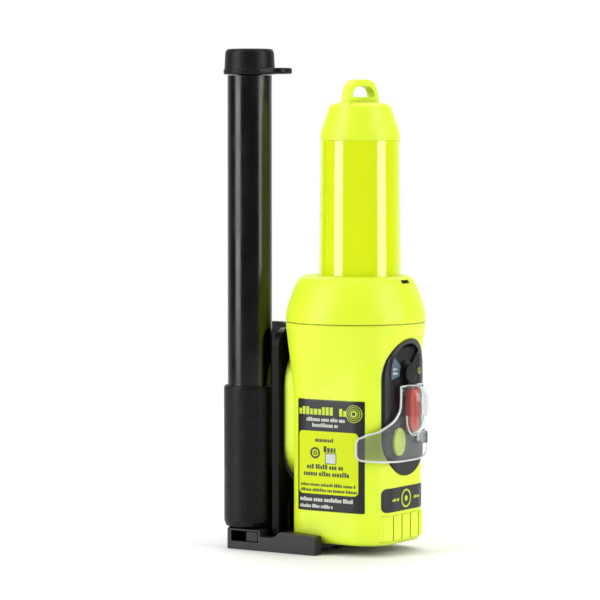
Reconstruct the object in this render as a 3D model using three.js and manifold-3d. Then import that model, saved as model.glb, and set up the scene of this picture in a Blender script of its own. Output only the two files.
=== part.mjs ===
// Search-and-rescue radar beacon on a bulkhead bracket, with its telescopic carrying pole.
// Millimetres, +Z up. The shapes are drawn about the beacon's radome axis and then moved
// so that the origin lies on the underside of the bracket's middle foot.
import * as THREE from "three";
import { mergeVertices } from "three/addons/utils/BufferGeometryUtils.js";
import Module from "manifold-3d";

const wasm = await Module();
wasm.setup();

// ---------------------------------------------------------------- driving dimensions
const GAP = 0.3; // between pieces that touch
const ORIGIN = [-40, 3.5, 0]; // row origin, measured from the radome axis

// beacon
const HOUSING_FRONT = 29.1; // radome axis to the front (control) face
const HOUSING_REAR = 31.9;
const HOUSING_HALF_WIDTH = 28.7;
const HOUSING_CORNER = 16.9;
const HOUSING_WALL = 3;
const HOUSING_SIDES = 40;
const BASE_Z = 5.8;
const SEAM_Z = 124.7;
const SEAM_RADIUS = 38.3;
const SEAM_SHIFT = -2.7; // the round seam sits a little behind the radome axis
const SHOULDER_TOP = 150.4;
const RADOME_TOP = 223.2;
const RADOME_FOOT_RADIUS = 22.4;
const RADOME_HEAD_RADIUS = 21.7;
const CAP_TOP = 243.8;
const LOOP_TOP = 256.5;
const LOOP_THICKNESS = 5.1;

// control panel on the front face
const PANEL = { width: 42, bottom: 42.6, top: 116.7 };
const HUB_Z = 98;
const DIAL = { inner: 6.6, outer: 16.3, floor: 29.0 };
const BUTTON = { y: -9.7, z: 61.7, halfWidth: 5.25, halfHeight: 7.6 };
const LED = { y: 11.9, z: 98.7, radius: 2 };

// clear security cover
const COVER_OUT = 4.6; // outer face above the housing
const COVER_IN = 3.2;
const COVER_RIM = 1.2; // underside of the rim above the housing
const BULB = { x: 31, radius: 10.8, wall: 1.2, low: 74.8, high: 83.2 };

// bracket
const LIP = { left: -63, right: -6.2, front: -36, back: -29.7 };
const BLOCK = { right: -41.7, back: -27.7, top: 11.2 }; // raised end of the lip, under the pole
const RECESS = { left: -60.5, divide: -51.2, right: -43.1, low: 4.4, top: 10.3 };
const FLOOR = { low: 2.4, top: 5.5, right: -8, left: -80 };
const WALL = { front: 39, back: 43, left: -86, right: -20, top: 120 };
const HOOP = { left: -44, right: -36, half: 26, top: 120.5 };
const WINDOW = { half: 21, low: 34, top: 106 };

// pole
const POLE = { x: -56.7, y: -23, foot: 11.5, sleeveTop: 89.4, top: 258.9 };
const SLEEVE_RADIUS = 14.25;
const TUBE_RADII = [12.15, 10.5, 9.2, 7.9]; // outer tube, then each inner stage
const TUBE_BORES = [10.9, 9.6, 8.3, 6.9];

// ---------------------------------------------------------------- materials
const plastic = (color, roughness) =>
  new THREE.MeshStandardMaterial({ color, roughness, metalness: 0 });
const metal = (color, roughness) =>
  new THREE.MeshStandardMaterial({ color, roughness, metalness: 1 });
const YELLOW = plastic(0xe4fc3c, 0.45);
const RADOME_YELLOW = plastic(0xe2f51e, 0.15);
const BLACK = plastic(0x17181a, 0.55);
const GLOSS_BLACK = plastic(0x0d0e10, 0.25);
const RUBBER = plastic(0x202020, 0.85);
const CLEAR = plastic(0xe8f2f2, 0.08);
const RED = plastic(0xd63e30, 0.4);
const BLUE_GREY = plastic(0x566e7d, 0.4);
const GREY = plastic(0x6d6f70, 0.5);
const BOARD_GREEN = plastic(0x1f5a38, 0.5);
const CELL = plastic(0x2f3f55, 0.4);
const STEEL = metal(0xb9bcc0, 0.35);

// ---------------------------------------------------------------- helpers
// A closed geometry as a solid that can be joined and cut.
function solid(geometry) {
  const bare = (geometry.index ? geometry.toNonIndexed() : geometry.clone());
  bare.deleteAttribute("normal");
  bare.deleteAttribute("uv");
  const merged = mergeVertices(bare, 1e-4);
  const triVerts = new Uint32Array(merged.index.array);
  const vertProperties = merged.attributes.position.array;
  let made = new wasm.Manifold(new wasm.Mesh({ numProp: 3, vertProperties, triVerts }));
  if (made.volume() < 0) {
    for (let i = 0; i < triVerts.length; i += 3)
      [triVerts[i + 1], triVerts[i + 2]] = [triVerts[i + 2], triVerts[i + 1]];
    made = new wasm.Manifold(new wasm.Mesh({ numProp: 3, vertProperties, triVerts }));
  }
  return made;
}

// The solid back as a geometry.
function geometryOf(made) {
  const { numProp, vertProperties, triVerts } = made.getMesh();
  const positions = new Float32Array((vertProperties.length / numProp) * 3);
  for (let i = 0; i < positions.length / 3; i++)
    for (let k = 0; k < 3; k++) positions[3 * i + k] = vertProperties[numProp * i + k];
  const geometry = new THREE.BufferGeometry();
  geometry.setAttribute("position", new THREE.BufferAttribute(positions, 3));
  geometry.setIndex(new THREE.BufferAttribute(new Uint32Array(triVerts), 1));
  geometry.computeVertexNormals();
  return geometry;
}

const inner = new THREE.Group();
function add(name, made, material) {
  const mesh = new THREE.Mesh(geometryOf(made), material);
  mesh.name = name;
  inner.add(mesh);
}

const joined = (first, ...rest) => rest.reduce((sum, next) => sum.add(next), first);
const cut = (first, ...rest) => rest.reduce((sum, next) => sum.subtract(next), first);

// Box between two corners.
function box([x0, y0, z0], [x1, y1, z1]) {
  const geometry = new THREE.BoxGeometry(x1 - x0, y1 - y0, z1 - z0);
  return solid(geometry.translate((x0 + x1) / 2, (y0 + y1) / 2, (z0 + z1) / 2));
}

// Outline drawn in two axes and extruded along the third.
function extrude(shape, length, curveSegments, bevel = 0) {
  return new THREE.ExtrudeGeometry(shape, {
    depth: length - 2 * bevel,
    curveSegments,
    bevelEnabled: bevel > 0,
    bevelSize: bevel,
    bevelThickness: bevel,
    bevelOffset: -bevel,
    bevelSegments: 1,
  }).translate(0, 0, bevel);
}
const basis = (x, y, z) =>
  new THREE.Matrix4().makeBasis(
    new THREE.Vector3(...x),
    new THREE.Vector3(...y),
    new THREE.Vector3(...z),
  );
const prismZ = (shape, z0, z1, segments = 10, bevel = 0) =>
  solid(extrude(shape, z1 - z0, segments, bevel).translate(0, 0, z0));
// shape in (Y, Z), extruded along +X
const prismX = (shape, x0, x1, segments = 10, bevel = 0) =>
  solid(
    extrude(shape, x1 - x0, segments, bevel)
      .applyMatrix4(basis([0, 1, 0], [0, 0, 1], [1, 0, 0]))
      .translate(x0, 0, 0),
  );
// shape in (X, Z), extruded along -Y from y1 down to y0
const prismY = (shape, y0, y1, segments = 10, bevel = 0) =>
  solid(
    extrude(shape, y1 - y0, segments, bevel)
      .applyMatrix4(basis([1, 0, 0], [0, 0, 1], [0, -1, 0]))
      .translate(0, y1, 0),
  );

// Turned solid about a vertical axis at (x, y); the profile is [radius, height] pairs.
function turned(profile, segments, x = 0, y = 0, closed = false) {
  const points = profile.map(([r, z]) => new THREE.Vector2(r, z));
  if (closed) points.push(points[0].clone());
  return solid(new THREE.LatheGeometry(points, segments).rotateX(Math.PI / 2).translate(x, y, 0));
}
const cylinder = (radius, z0, z1, segments, x = 0, y = 0) =>
  turned([[0, z0], [radius, z0], [radius, z1], [0, z1]], segments, x, y);
const ring = (bore, radius, z0, z1, segments, x = 0, y = 0) =>
  turned([[bore, z0], [radius, z0], [radius, z1], [bore, z1]], segments, x, y, true);
// cylinder along +X
const cylinderX = (radius, x0, x1, segments, y, z) =>
  solid(
    new THREE.CylinderGeometry(radius, radius, x1 - x0, segments)
      .rotateZ(Math.PI / 2)
      .translate((x0 + x1) / 2, y, z),
  );

const polygon = (points) => new THREE.Shape(points.map(([a, b]) => new THREE.Vector2(a, b)));

// Rectangle between two corners, with round corners: radii as [low left, low right, top right, top left].
function rounded([a0, b0], [a1, b1], radii) {
  const [ll, lr, tr, tl] = Array.isArray(radii) ? radii : [radii, radii, radii, radii];
  const shape = new THREE.Shape();
  shape.moveTo(a0 + ll, b0);
  shape.lineTo(a1 - lr, b0);
  if (lr) shape.absarc(a1 - lr, b0 + lr, lr, -Math.PI / 2, 0);
  shape.lineTo(a1, b1 - tr);
  if (tr) shape.absarc(a1 - tr, b1 - tr, tr, 0, Math.PI / 2);
  shape.lineTo(a0 + tl, b1);
  if (tl) shape.absarc(a0 + tl, b1 - tl, tl, Math.PI / 2, Math.PI);
  shape.lineTo(a0, b0 + ll);
  if (ll) shape.absarc(a0 + ll, b0 + ll, ll, Math.PI, 1.5 * Math.PI);
  return shape;
}

// Part of a ring between two angles, drawn about (0, HUB_Z).
function sector(bore, radius, from, to) {
  const a = THREE.MathUtils.degToRad(from);
  const b = THREE.MathUtils.degToRad(to);
  const shape = new THREE.Shape();
  shape.absarc(0, HUB_Z, radius, a, b, false);
  shape.absarc(0, HUB_Z, bore, b, a, true);
  shape.closePath();
  return shape;
}

// ---------------------------------------------------------------- housing form
// Distance from the radome axis to a rounded-rectangle section.
function boxRadius(angle, offset) {
  const c = Math.abs(Math.cos(angle));
  const s = Math.abs(Math.sin(angle));
  const depth = (Math.cos(angle) > 0 ? HOUSING_FRONT : HOUSING_REAR) + offset;
  const half = HOUSING_HALF_WIDTH + offset;
  const corner = HOUSING_CORNER + offset;
  const [cx, cy] = [depth - corner, half - corner];
  if (depth * s <= cy * c) return depth / c;
  if (half * c <= cx * s) return half / s;
  const along = cx * c + cy * s;
  return along + Math.sqrt(along * along - (cx * cx + cy * cy - corner * corner));
}

// Distance from the radome axis to the round seam.
function seamRadius(angle, offset) {
  const along = SEAM_SHIFT * Math.cos(angle);
  const radius = SEAM_RADIUS + offset;
  return along + Math.sqrt(along * along - SEAM_SHIFT * SEAM_SHIFT + radius * radius);
}

// The section grows from rounded box to circle: early at the back, late at the front.
function housingRadius(angle, z, offset) {
  const start = 94.5 + 14.5 * Math.cos(angle);
  const grown = THREE.MathUtils.clamp((z - start) / (SEAM_Z - start), 0, 1) ** 1.1;
  const low = Math.min(1, Math.max(0, (11 - z) / 5.2));
  const tuck = 2.4 * (1 - Math.sqrt(1 - low * low));
  return (
    (1 - grown) * boxRadius(angle, offset) + grown * seamRadius(angle, offset) - tuck
  );
}

const LEVELS = [BASE_Z, 7.2, 11, 82, 96, 109, 114, 119, SEAM_Z];

// A closed solid of the housing's form, larger or smaller by the offset.
function housingForm(offset, levels = LEVELS) {
  const rows = levels.length - 1;
  const geometry = new THREE.CylinderGeometry(1, 1, 1, HOUSING_SIDES, rows).rotateX(Math.PI / 2);
  const p = geometry.attributes.position;
  for (let i = 0; i < p.count; i++) {
    const z = levels[Math.round((p.getZ(i) + 0.5) * rows)];
    const radius = Math.hypot(p.getX(i), p.getY(i));
    const angle = Math.atan2(p.getY(i), p.getX(i));
    const reach = radius < 0.5 ? 0 : housingRadius(angle, z, offset);
    p.setXYZ(i, reach * Math.cos(angle), reach * Math.sin(angle), z);
  }
  return solid(geometry);
}

// A skin that follows the housing between two offsets, inside an extruded outline.
const skin = (prism, low, high) => housingForm(high).intersect(prism).subtract(housingForm(low));

// ---------------------------------------------------------------- beacon: shells
const panelOutline = (grow) =>
  rounded(
    [-PANEL.width / 2 - grow, PANEL.bottom - grow],
    [PANEL.width / 2 + grow, PANEL.top + grow],
    PANEL.width / 2 + grow - 0.2,
  );
const labelOutline = (grow) => rounded([-22.4 - grow, 24.2 - grow], [19.6 + grow, 83.6 + grow], 2);
const badgeOutline = (grow) => rounded([-21 - grow, 23.8 - grow], [21 + grow, 36.7 + grow], 3);
const baseOutline = (grow) => rounded([-23 - grow, -20 - grow], [21 + grow, 20 + grow], 9 + grow);
const BASE_SCREWS = [[-18, -14], [16, -14], [16, 14], [-18, 14]];

function lowerHousing() {
  const boss = prismX(rounded([-22, 36], [22, 113], 21.5), -35.5, -28, 8, 1);
  const ribs = [0, 1, 2, 3, 4].map((i) => {
    const y = 8.8 * (i - 2);
    return skin(prismX(rounded([y - 3.95, 8], [y + 3.95, 21.8], [0, 0, 3, 0]), 15, 45, 3), -1, 1);
  });
  const cavity = housingForm(-HOUSING_WALL, [11, 82, 109, SEAM_Z + 5]);
  const pockets = [
    cut(prismX(panelOutline(GAP), 15, 50, 10), housingForm(-1.5)),
    cut(prismY(labelOutline(GAP), -45, -15, 4), housingForm(-0.6)),
    cut(prismX(badgeOutline(GAP), 15, 50, 4), housingForm(-0.6)),
    prismZ(baseOutline(GAP), 0, 8, 4),
    ...BASE_SCREWS.map(([x, y]) => cylinder(1.5, 7, 10.4, 8, x, y)),
  ];
  return cut(joined(housingForm(0), boss, ...ribs), cavity, ...pockets);
}

function shoulderCover() {
  const outside = turned(
    [
      [0, 125.9], [38.3, 125.9], [38.1, 129], [36.4, 136], [34.1, 142.3],
      [32.4, 146.2], [30.6, 148.7], [28.2, 150.1], [26.4, SHOULDER_TOP], [0, SHOULDER_TOP],
    ],
    36, SEAM_SHIFT,
  );
  const inside = turned(
    [[0, 120], [35.7, 120], [35.4, 129], [30.2, 145.4], [28.9, 147.6], [0, 147.6]],
    20, SEAM_SHIFT,
  );
  const slot = box([27.2, -4, 146.2], [32, 4, 148.2]);
  return cut(outside, inside, cylinder(RADOME_FOOT_RADIUS + GAP, 140, 155, 40), slot);
}

function radomeTube() {
  return turned(
    [
      [20, 143.8], [25.2, 143.8], [25.2, 147.3], [RADOME_FOOT_RADIUS, 147.3],
      [RADOME_HEAD_RADIUS, RADOME_TOP], [19.7, RADOME_TOP],
    ],
    40, 0, 0, true,
  );
}

function radomeCap() {
  const shell = turned(
    [
      [0, 240.6], [13.6, 240.6], [17, 231], [17.4, 226], [17.4, 219.5], [19.3, 219.5],
      [19.3, 223.5], [21.7, 223.5], [21.5, 226], [21.2, 228.5], [20.5, 231], [19.6, 233.4],
      [17.5, 239.8], [16.7, 242], [15.2, 243.4], [13.4, CAP_TOP], [0, CAP_TOP],
    ],
    30,
  );
  const half = LOOP_THICKNESS / 2;
  const arch = prismX(rounded([-16.4, 241], [16.4, LOOP_TOP], [0, 0, 11.5, 11.5]), -half, half, 6, 0.6);
  const eye = prismX(rounded([-11, 247], [11, 252.6], [1, 1, 4.4, 4.4]), -10, 10, 4);
  return joined(shell, cut(arch, eye));
}

function buildShells() {
  add("lower_housing", lowerHousing(), YELLOW);
  add("seam_seal", ring(35, 37.4, 125, 125.6, 32, SEAM_SHIFT), RUBBER);
  add("shoulder_cover", shoulderCover(), YELLOW);
  add("radome_tube", radomeTube(), RADOME_YELLOW);
  add("radome_cap", radomeCap(), YELLOW);
  const holes = BASE_SCREWS.map(([x, y]) =>
    joined(cylinder(2.6, 5, 7.2, 10, x, y), cylinder(1.4, 5, 9, 10, x, y)),
  );
  add("base_cover", cut(prismZ(baseOutline(0), BASE_Z, 7.7, 4), ...holes), YELLOW);
  BASE_SCREWS.forEach(([x, y], i) => {
    const profile = [[0, 6], [2.2, 6], [2.2, 6.6], [1.1, 7.1], [1.1, 10], [0, 10]];
    add(`base_screw_${i + 1}`, turned(profile, 10, x, y), STEEL);
  });
}

// ---------------------------------------------------------------- beacon: panel, label, badge
function ellipse(grow) {
  const shape = new THREE.Shape();
  const [a, b] = [BUTTON.halfWidth + grow, BUTTON.halfHeight + grow];
  shape.absellipse(BUTTON.y, BUTTON.z, a, b, 0, 2 * Math.PI);
  return shape;
}

function controlPanel() {
  const plate = skin(prismX(panelOutline(0), 15, 50, 10), -1.2, 0.9);
  const dial = prismX(sector(DIAL.inner, DIAL.outer, 45, 192), DIAL.floor, 40, 12);
  const bore = cylinderX(LED.radius + GAP, 20, 40, 20, LED.y, LED.z);
  return cut(plate, dial, prismX(ellipse(0.35), 20, 40, 8), bore);
}

function buildFront() {
  add("control_panel", controlPanel(), GLOSS_BLACK);
  const face = DIAL.floor + GAP;
  add("status_window", prismX(sector(7.2, 15.6, 146, 190), face, face + 0.5, 8), BLUE_GREY);
  add("led_lens", cylinderX(LED.radius, 28.2, 31, 20, LED.y, LED.z), GREY);
  add("side_label", skin(prismY(labelOutline(0), -45, -15, 4), -0.3, 0.25), BLACK);
  add("front_badge", skin(prismX(badgeOutline(0), 15, 50, 4), -0.3, 0.4), BLACK);
  add("test_button", prismX(ellipse(0), 29.2, 31.6, 8, 0.6), YELLOW);
}

// Red lever on its hub, turning about an axis along X at (0, HUB_Z).
function buildLever() {
  const hub = joined(
    cylinderX(5.3, 31.2, 33.2, 24, 0, HUB_Z),
    box([31.2, -3, 90.2], [32.6, 3, 95]),
  );
  add("switch_hub", hub, BLACK);
  const outline = polygon([
    [-4.4, 89.9], [-5.2, 86], [-5.2, 69.4], [-3.2, 66.8], [3.2, 66.8], [4.6, 69.4],
    [4.6, 74.6], [6.2, 77.2], [4.6, 79.8], [4.6, 86], [4, 89.9],
  ]);
  add("switch_lever", prismX(outline, 31.4, 35.6, 4, 0.6), RED);
}

// ---------------------------------------------------------------- clear security cover
// Boot-shaped outline in (Y, Z): the leg over the lever and the foot that wraps to the label side.
const coverOutline = (d) =>
  polygon([
    [-11.4 + d, 90 - d], [-11.4 + d, 80.5], [-13.4 + d * 0.7, 76.6 - d * 0.7], [-19, 72.6 - d],
    [-26, 68.8 - d], [-36, 65.2 - d], [-36, 52.4 + d], [-12, 51.2 + d], [11 - d * 0.5, 52 + d],
    [16 - d, 57], [15.4 - d, 63], [11.4 - d, 69.5], [11.4 - d, 90 - d],
  ]);

function capsule(radius, back) {
  const ends = [BULB.low, BULB.high].map((z) =>
    solid(new THREE.SphereGeometry(radius, 20, 10).rotateX(Math.PI / 2).translate(BULB.x, 0, z)),
  );
  const middle = cylinder(radius, BULB.low, BULB.high, 20, BULB.x, 0);
  const outline = rounded([-radius, BULB.low - radius], [radius, BULB.high + radius], radius - 0.2);
  const whole = joined(middle, ...ends, prismX(outline, 18, BULB.x, 8));
  return whole.intersect(box([back, -40, 30], [60, 40, 130]));
}

function securityCover() {
  const front = box([18.4, -60, 0], [60, 60, 140]);
  const shell = housingForm(COVER_OUT)
    .intersect(prismX(coverOutline(0), 10, 50, 6))
    .subtract(housingForm(COVER_RIM))
    .intersect(front);
  const hollow = prismX(coverOutline(1.4), 10, 50, 6).intersect(housingForm(COVER_IN));
  const bulb = capsule(BULB.radius, BULB.x + 1);
  const room = capsule(BULB.radius - BULB.wall, 20);
  const neck = box([20, -6.5, 80], [34.4, 6.5, 100]);
  const tab = box([33, 5, 59.5], [36.6, 11.5, 66.5]);
  return cut(joined(cut(shell, hollow), bulb, tab), room, neck);
}

// ---------------------------------------------------------------- beacon: inside
function antennaStack() {
  const profile = [[0, 129.6], [6, 129.6], [6, 134], [3, 134]];
  for (let z = 146; z < 210; z += 20) profile.push([3, z], [13, z], [13, z + 4], [3, z + 4]);
  profile.push([3, 217], [0, 217]);
  return turned(profile, 14);
}

function buildInside() {
  [[-10.5, -9], [8, -9], [8, 9], [-10.5, 9]].forEach(([x, y], i) => {
    const profile = [[0, 12], [8.2, 12], [8.2, 65], [2.8, 65], [2.8, 66.5], [0, 66.5]];
    add(`battery_cell_${i + 1}`, turned(profile, 16, x, y), CELL);
  });
  add("battery_plate", prismZ(rounded([-22, -19], [19, 19], 6), 67, 70, 6), GREY);
  add("main_board", box([16, -17, 73], [17.6, 17, 119]), BOARD_GREEN);
  add("sounder", cylinderX(6, 9.6, 15.7, 20, -8, 84), BLACK);
  add("reed_switch", box([17.9, -1.5, 91], [20.5, 1.5, 105]), STEEL);
  add("rf_board", cylinder(25, 127.4, 129, 24, -1), BOARD_GREEN);
  add("antenna_stack", antennaStack(), STEEL);
}

// ---------------------------------------------------------------- bracket
const JOIN_SCREWS = [[-39.5, -16], [-39.5, 16], [-70, 41], [-30, 41]];

// One moulding: floor, front lip with the raised pole block, middle foot and rear rail.
function baseTray() {
  const pedestal = prismZ(
    polygon([
      [LIP.left, LIP.front], [-46, LIP.front], [-46, -14], [-50, -9], [-62, -9], [-68, -15], [-68, -26],
    ]),
    0, BLOCK.top,
  );
  const floor = prismZ(
    polygon([
      [LIP.left, -31], [FLOOR.right, -31], [FLOOR.right, 40], [FLOOR.left, 40], [FLOOR.left, 8],
      [-67, -14],
    ]),
    FLOOR.low, FLOOR.top,
  );
  const lip = prismY(
    polygon([
      [LIP.left, 0], [LIP.right, 0], [LIP.right, 10.2], [-27, 11.4], [-29.6, 10.9], [-31.6, 9],
      [-34, 7.8], [-44, 7.8], [LIP.left, 7.8],
    ]),
    LIP.front, LIP.back,
  );
  const block = box([LIP.left, LIP.front, 0], [BLOCK.right, BLOCK.back, BLOCK.top]);
  const middle = box([-70, -3.5, 0], [-12, 10.5, 3]);
  const rail = box([WALL.left, 36, 0], [WALL.right, WALL.back, FLOOR.top]);
  const recess = joined(
    box([RECESS.left, -40, RECESS.low], [RECESS.divide, -24, RECESS.top]),
    box([RECESS.divide - 0.2, -40, RECESS.low], [RECESS.right, -29.2, RECESS.top]),
  );
  const screws = JOIN_SCREWS.map(([x, y]) =>
    joined(cylinder(3.1, -1, FLOOR.low, 12, x, y), cylinder(1.4, -1, 8, 8, x, y)),
  );
  return cut(joined(pedestal, floor, lip, block, middle, rail), recess, ...screws);
}

// Upright hoop behind the beacon, relieved for the pole on one side and the housing on the other.
function hoop() {
  const { left, right, half, top } = HOOP;
  const foot = FLOOR.top + GAP;
  const plate = prismX(rounded([-half, foot], [half, top], [3, 3, 10, 10]), left, right, 10);
  const spine = prismX(rounded([-20, foot], [20, 31], [2, 2, 8, 8]), right - 3, -33, 3);
  const window = prismX(
    rounded([-WINDOW.half, WINDOW.low], [WINDOW.half, WINDOW.top], WINDOW.half - 0.2), -60, -20, 8,
  );
  const poleRoom = cylinder(SLEEVE_RADIUS + 2.7, 0, 140, 24, POLE.x, POLE.y);
  const bores = JOIN_SCREWS.slice(0, 2).map(([x, y]) => cylinder(1.4, 0, 13, 8, x, y));
  const blockRoom = box([-60, -40, 0], [BLOCK.right + GAP, BLOCK.back + GAP, BLOCK.top + GAP]);
  return cut(joined(plate, spine), window, housingForm(1.2), poleRoom, blockRoom, ...bores);
}

function wallPlate() {
  const outline = rounded([WALL.left, FLOOR.top + GAP], [WALL.right, WALL.top - 4], [2, 2, 12, 3]);
  const ear = prismY(rounded([WALL.left, 112], [-72, WALL.top], [0, 0, 6, 2]), WALL.front, WALL.back, 5);
  for (const x of [-70, -30])
    for (const z of [26, 100]) {
      const hole = new THREE.Path();
      hole.absarc(x, z, 2.6, 0, 2 * Math.PI, true);
      outline.holes.push(hole);
    }
  const bores = JOIN_SCREWS.slice(2).map(([x, y]) => cylinder(1.4, 0, 13, 12, x, y));
  return cut(joined(prismY(outline, WALL.front, WALL.back, 6), ear), ...bores);
}

function buildBracket() {
  add("base_tray", baseTray(), BLACK);
  add("rear_hoop", hoop(), GLOSS_BLACK);
  add("wall_plate", wallPlate(), BLACK);
  JOIN_SCREWS.forEach(([x, y], i) => {
    const profile = [[0, 0.5], [2.7, 0.5], [2.7, 2.1], [1.1, 2.1], [1.1, 12], [0, 12]];
    add(`bracket_screw_${i + 1}`, turned(profile, 10, x, y), STEEL);
  });
  const catchBlock = prismY(rounded([-50.8, 4.8], [-43.5, 9.9], 0.8), -35.7, -31.4, 3);
  add("foot_catch", catchBlock, GREY);
}

// ---------------------------------------------------------------- pole
function poleSleeve() {
  const R = SLEEVE_RADIUS;
  const bore = TUBE_RADII[0] + 0.4;
  const body = turned(
    [
      [0, POLE.foot], [11.2, POLE.foot], [13.2, POLE.foot + 0.8], [R, POLE.foot + 3],
      [R, POLE.sleeveTop - 0.8], [13.8, POLE.sleeveTop], [bore, POLE.sleeveTop],
      [bore, POLE.foot + 3.4], [0, POLE.foot + 3.4],
    ],
    32, POLE.x, POLE.y,
  );
  const groove = (y) => box([POLE.x - 0.3, y - 0.5, 0], [POLE.x + 0.3, y + 0.5, 100]);
  return cut(body, groove(POLE.y - R), groove(POLE.y + R));
}

function poleCap() {
  const body = turned(
    [
      [0, 249], [6.5, 249], [6.5, 259.2], [14.1, 259.2], [14.3, 259.6], [14.3, 261.8], [13.9, 262.3],
      [13.35, 271.6], [12.6, 273], [11.8, 273.3], [0, 273.3],
    ],
    32, POLE.x, POLE.y,
  );
  const tab = rounded(
    [POLE.x + 8, POLE.y - 8], [POLE.x + 25.6, POLE.y + 8], [0, 7.9, 7.9, 0],
  );
  return joined(body, prismZ(tab, 259.4, 262.8, 6, 0.6));
}

function buildPole() {
  add("pole_sleeve", poleSleeve(), RUBBER);
  TUBE_RADII.forEach((radius, i) => {
    const name = i ? `pole_stage_${i + 1}` : "pole_outer_tube";
    const foot = POLE.foot + 3.8 + i * 0.8;
    add(name, ring(TUBE_BORES[i], radius, foot, POLE.top - i * 0.1, 28, POLE.x, POLE.y), BLACK);
  });
  add("pole_cap", poleCap(), BLACK);
}

// ---------------------------------------------------------------- assembly
buildBracket();
buildShells();
buildFront();
buildLever();
add("security_cover", securityCover(), CLEAR);
buildInside();
buildPole();

inner.position.set(-ORIGIN[0], -ORIGIN[1], -ORIGIN[2]);
const beaconOnBracket = new THREE.Group();
beaconOnBracket.add(inner);
export default beaconOnBracket;
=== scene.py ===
"""Rescue radar beacon in its bulkhead bracket, beside its telescopic pole."""
import math
import random

import bmesh
import bpy
from mathutils import Matrix, Vector


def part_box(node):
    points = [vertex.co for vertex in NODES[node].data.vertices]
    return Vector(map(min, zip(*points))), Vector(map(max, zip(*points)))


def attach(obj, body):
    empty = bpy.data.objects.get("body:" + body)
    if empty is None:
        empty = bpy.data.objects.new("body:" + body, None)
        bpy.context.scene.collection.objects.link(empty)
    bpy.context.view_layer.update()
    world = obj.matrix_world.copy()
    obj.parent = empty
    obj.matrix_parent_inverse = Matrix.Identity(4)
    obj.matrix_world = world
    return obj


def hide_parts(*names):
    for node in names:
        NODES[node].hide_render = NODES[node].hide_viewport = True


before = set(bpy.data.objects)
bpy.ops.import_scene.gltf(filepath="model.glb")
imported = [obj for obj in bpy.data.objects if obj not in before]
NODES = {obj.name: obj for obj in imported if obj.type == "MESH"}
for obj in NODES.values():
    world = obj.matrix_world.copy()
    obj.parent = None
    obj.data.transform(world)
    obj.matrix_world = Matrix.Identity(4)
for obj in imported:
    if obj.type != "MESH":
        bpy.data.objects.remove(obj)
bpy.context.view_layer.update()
MM = 0.001


def middle(node):
    low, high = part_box(node)
    return (Vector(low) + Vector(high)) / 2


AXIS = middle("radome_tube")  # the beacon's radome axis
POLE = middle("pole_outer_tube")
SEAM = middle("seam_seal")


# ------------------------------------------------------------------ materials
def new_material(name):
    material = bpy.data.materials.new(name)
    material.use_nodes = True
    tree = material.node_tree
    shader = tree.nodes["Principled BSDF"]
    coords = tree.nodes.new("ShaderNodeTexCoord")
    return material, tree, shader, coords.outputs["Object"]


def noise(tree, coords, scale, detail=3.0, roughness=0.5, stretch=None):
    node = tree.nodes.new("ShaderNodeTexNoise")
    node.inputs["Scale"].default_value = scale
    node.inputs["Detail"].default_value = detail
    node.inputs["Roughness"].default_value = roughness
    if stretch:
        mapping = tree.nodes.new("ShaderNodeMapping")
        mapping.inputs["Scale"].default_value = stretch
        tree.links.new(coords, mapping.inputs["Vector"])
        coords = mapping.outputs["Vector"]
    tree.links.new(coords, node.inputs["Vector"])
    return node.outputs["Fac"]


def remap(tree, value, low, high, to_low, to_high):
    node = tree.nodes.new("ShaderNodeMapRange")
    node.inputs["From Min"].default_value = low
    node.inputs["From Max"].default_value = high
    node.inputs["To Min"].default_value = to_low
    node.inputs["To Max"].default_value = to_high
    tree.links.new(value, node.inputs["Value"])
    return node.outputs["Result"]


def blend_colours(tree, factor, first, second):
    node = tree.nodes.new("ShaderNodeMix")
    node.data_type = "RGBA"
    for socket, value in ((6, first), (7, second)):
        if isinstance(value, tuple):
            node.inputs[socket].default_value = (*value, 1)
        else:
            tree.links.new(value, node.inputs[socket])
    tree.links.new(factor, node.inputs[0])
    return node.outputs[2]


def moulded(name, colour, roughness, grain=900.0, depth=0.04, spread=0.06, mottle=0.05,
            speckle=None, crevice_shade=None, **sockets):
    """Moulded plastic: fine grain, uneven gloss, slight mottling and hairline scuffs, with painted shade
    in crevices when a crevice colour is given.
    """
    material, tree, shader, coords = new_material(name)
    broad = noise(tree, coords, 22.0, 4.0)
    darker = tuple(c * (1 - 2 * mottle) for c in colour)
    colour_out = blend_colours(tree, remap(tree, broad, 0.35, 0.7, 0, 1), darker, colour)
    if speckle:
        dots = remap(tree, noise(tree, coords, 1400.0, 1.0), 0.66, 0.72, 0, 1)
        colour_out = blend_colours(tree, dots, colour_out, speckle)
    # painted shade: the ambient-occlusion node blends the colour toward the given dark colour in crevices
    # and between parts
    if crevice_shade:
        shade_occlusion = tree.nodes.new("ShaderNodeAmbientOcclusion")
        shade_occlusion.samples = 6
        shade_occlusion.inputs["Distance"].default_value = 0.012
        unshaded_share = remap(tree, shade_occlusion.outputs["AO"], 0.25, 0.72, 0, 1)
        colour_out = blend_colours(tree, unshaded_share, crevice_shade, colour_out)
    tree.links.new(colour_out, shader.inputs["Base Color"])
    hair = noise(tree, coords, 260.0, 2.0, stretch=(1.0, 1.0, 0.08))
    hair_lines = remap(tree, hair, 0.62, 0.7, 0, spread)
    even = remap(tree, noise(tree, coords, 60.0, 3.0), 0.3, 0.7, roughness - spread, roughness + spread)
    total = tree.nodes.new("ShaderNodeMath")
    total.operation = "ADD"
    total.use_clamp = True
    tree.links.new(even, total.inputs[0])
    tree.links.new(hair_lines, total.inputs[1])
    tree.links.new(total.outputs[0], shader.inputs["Roughness"])
    bump = tree.nodes.new("ShaderNodeBump")
    bump.inputs["Strength"].default_value = depth
    bump.inputs["Distance"].default_value = 0.0004
    tree.links.new(noise(tree, coords, grain, 2.0), bump.inputs["Height"])
    tree.links.new(bump.outputs["Normal"], shader.inputs["Normal"])
    for socket, value in sockets.items():
        shader.inputs[socket.replace("_", " ")].default_value = value
    return material


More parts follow.
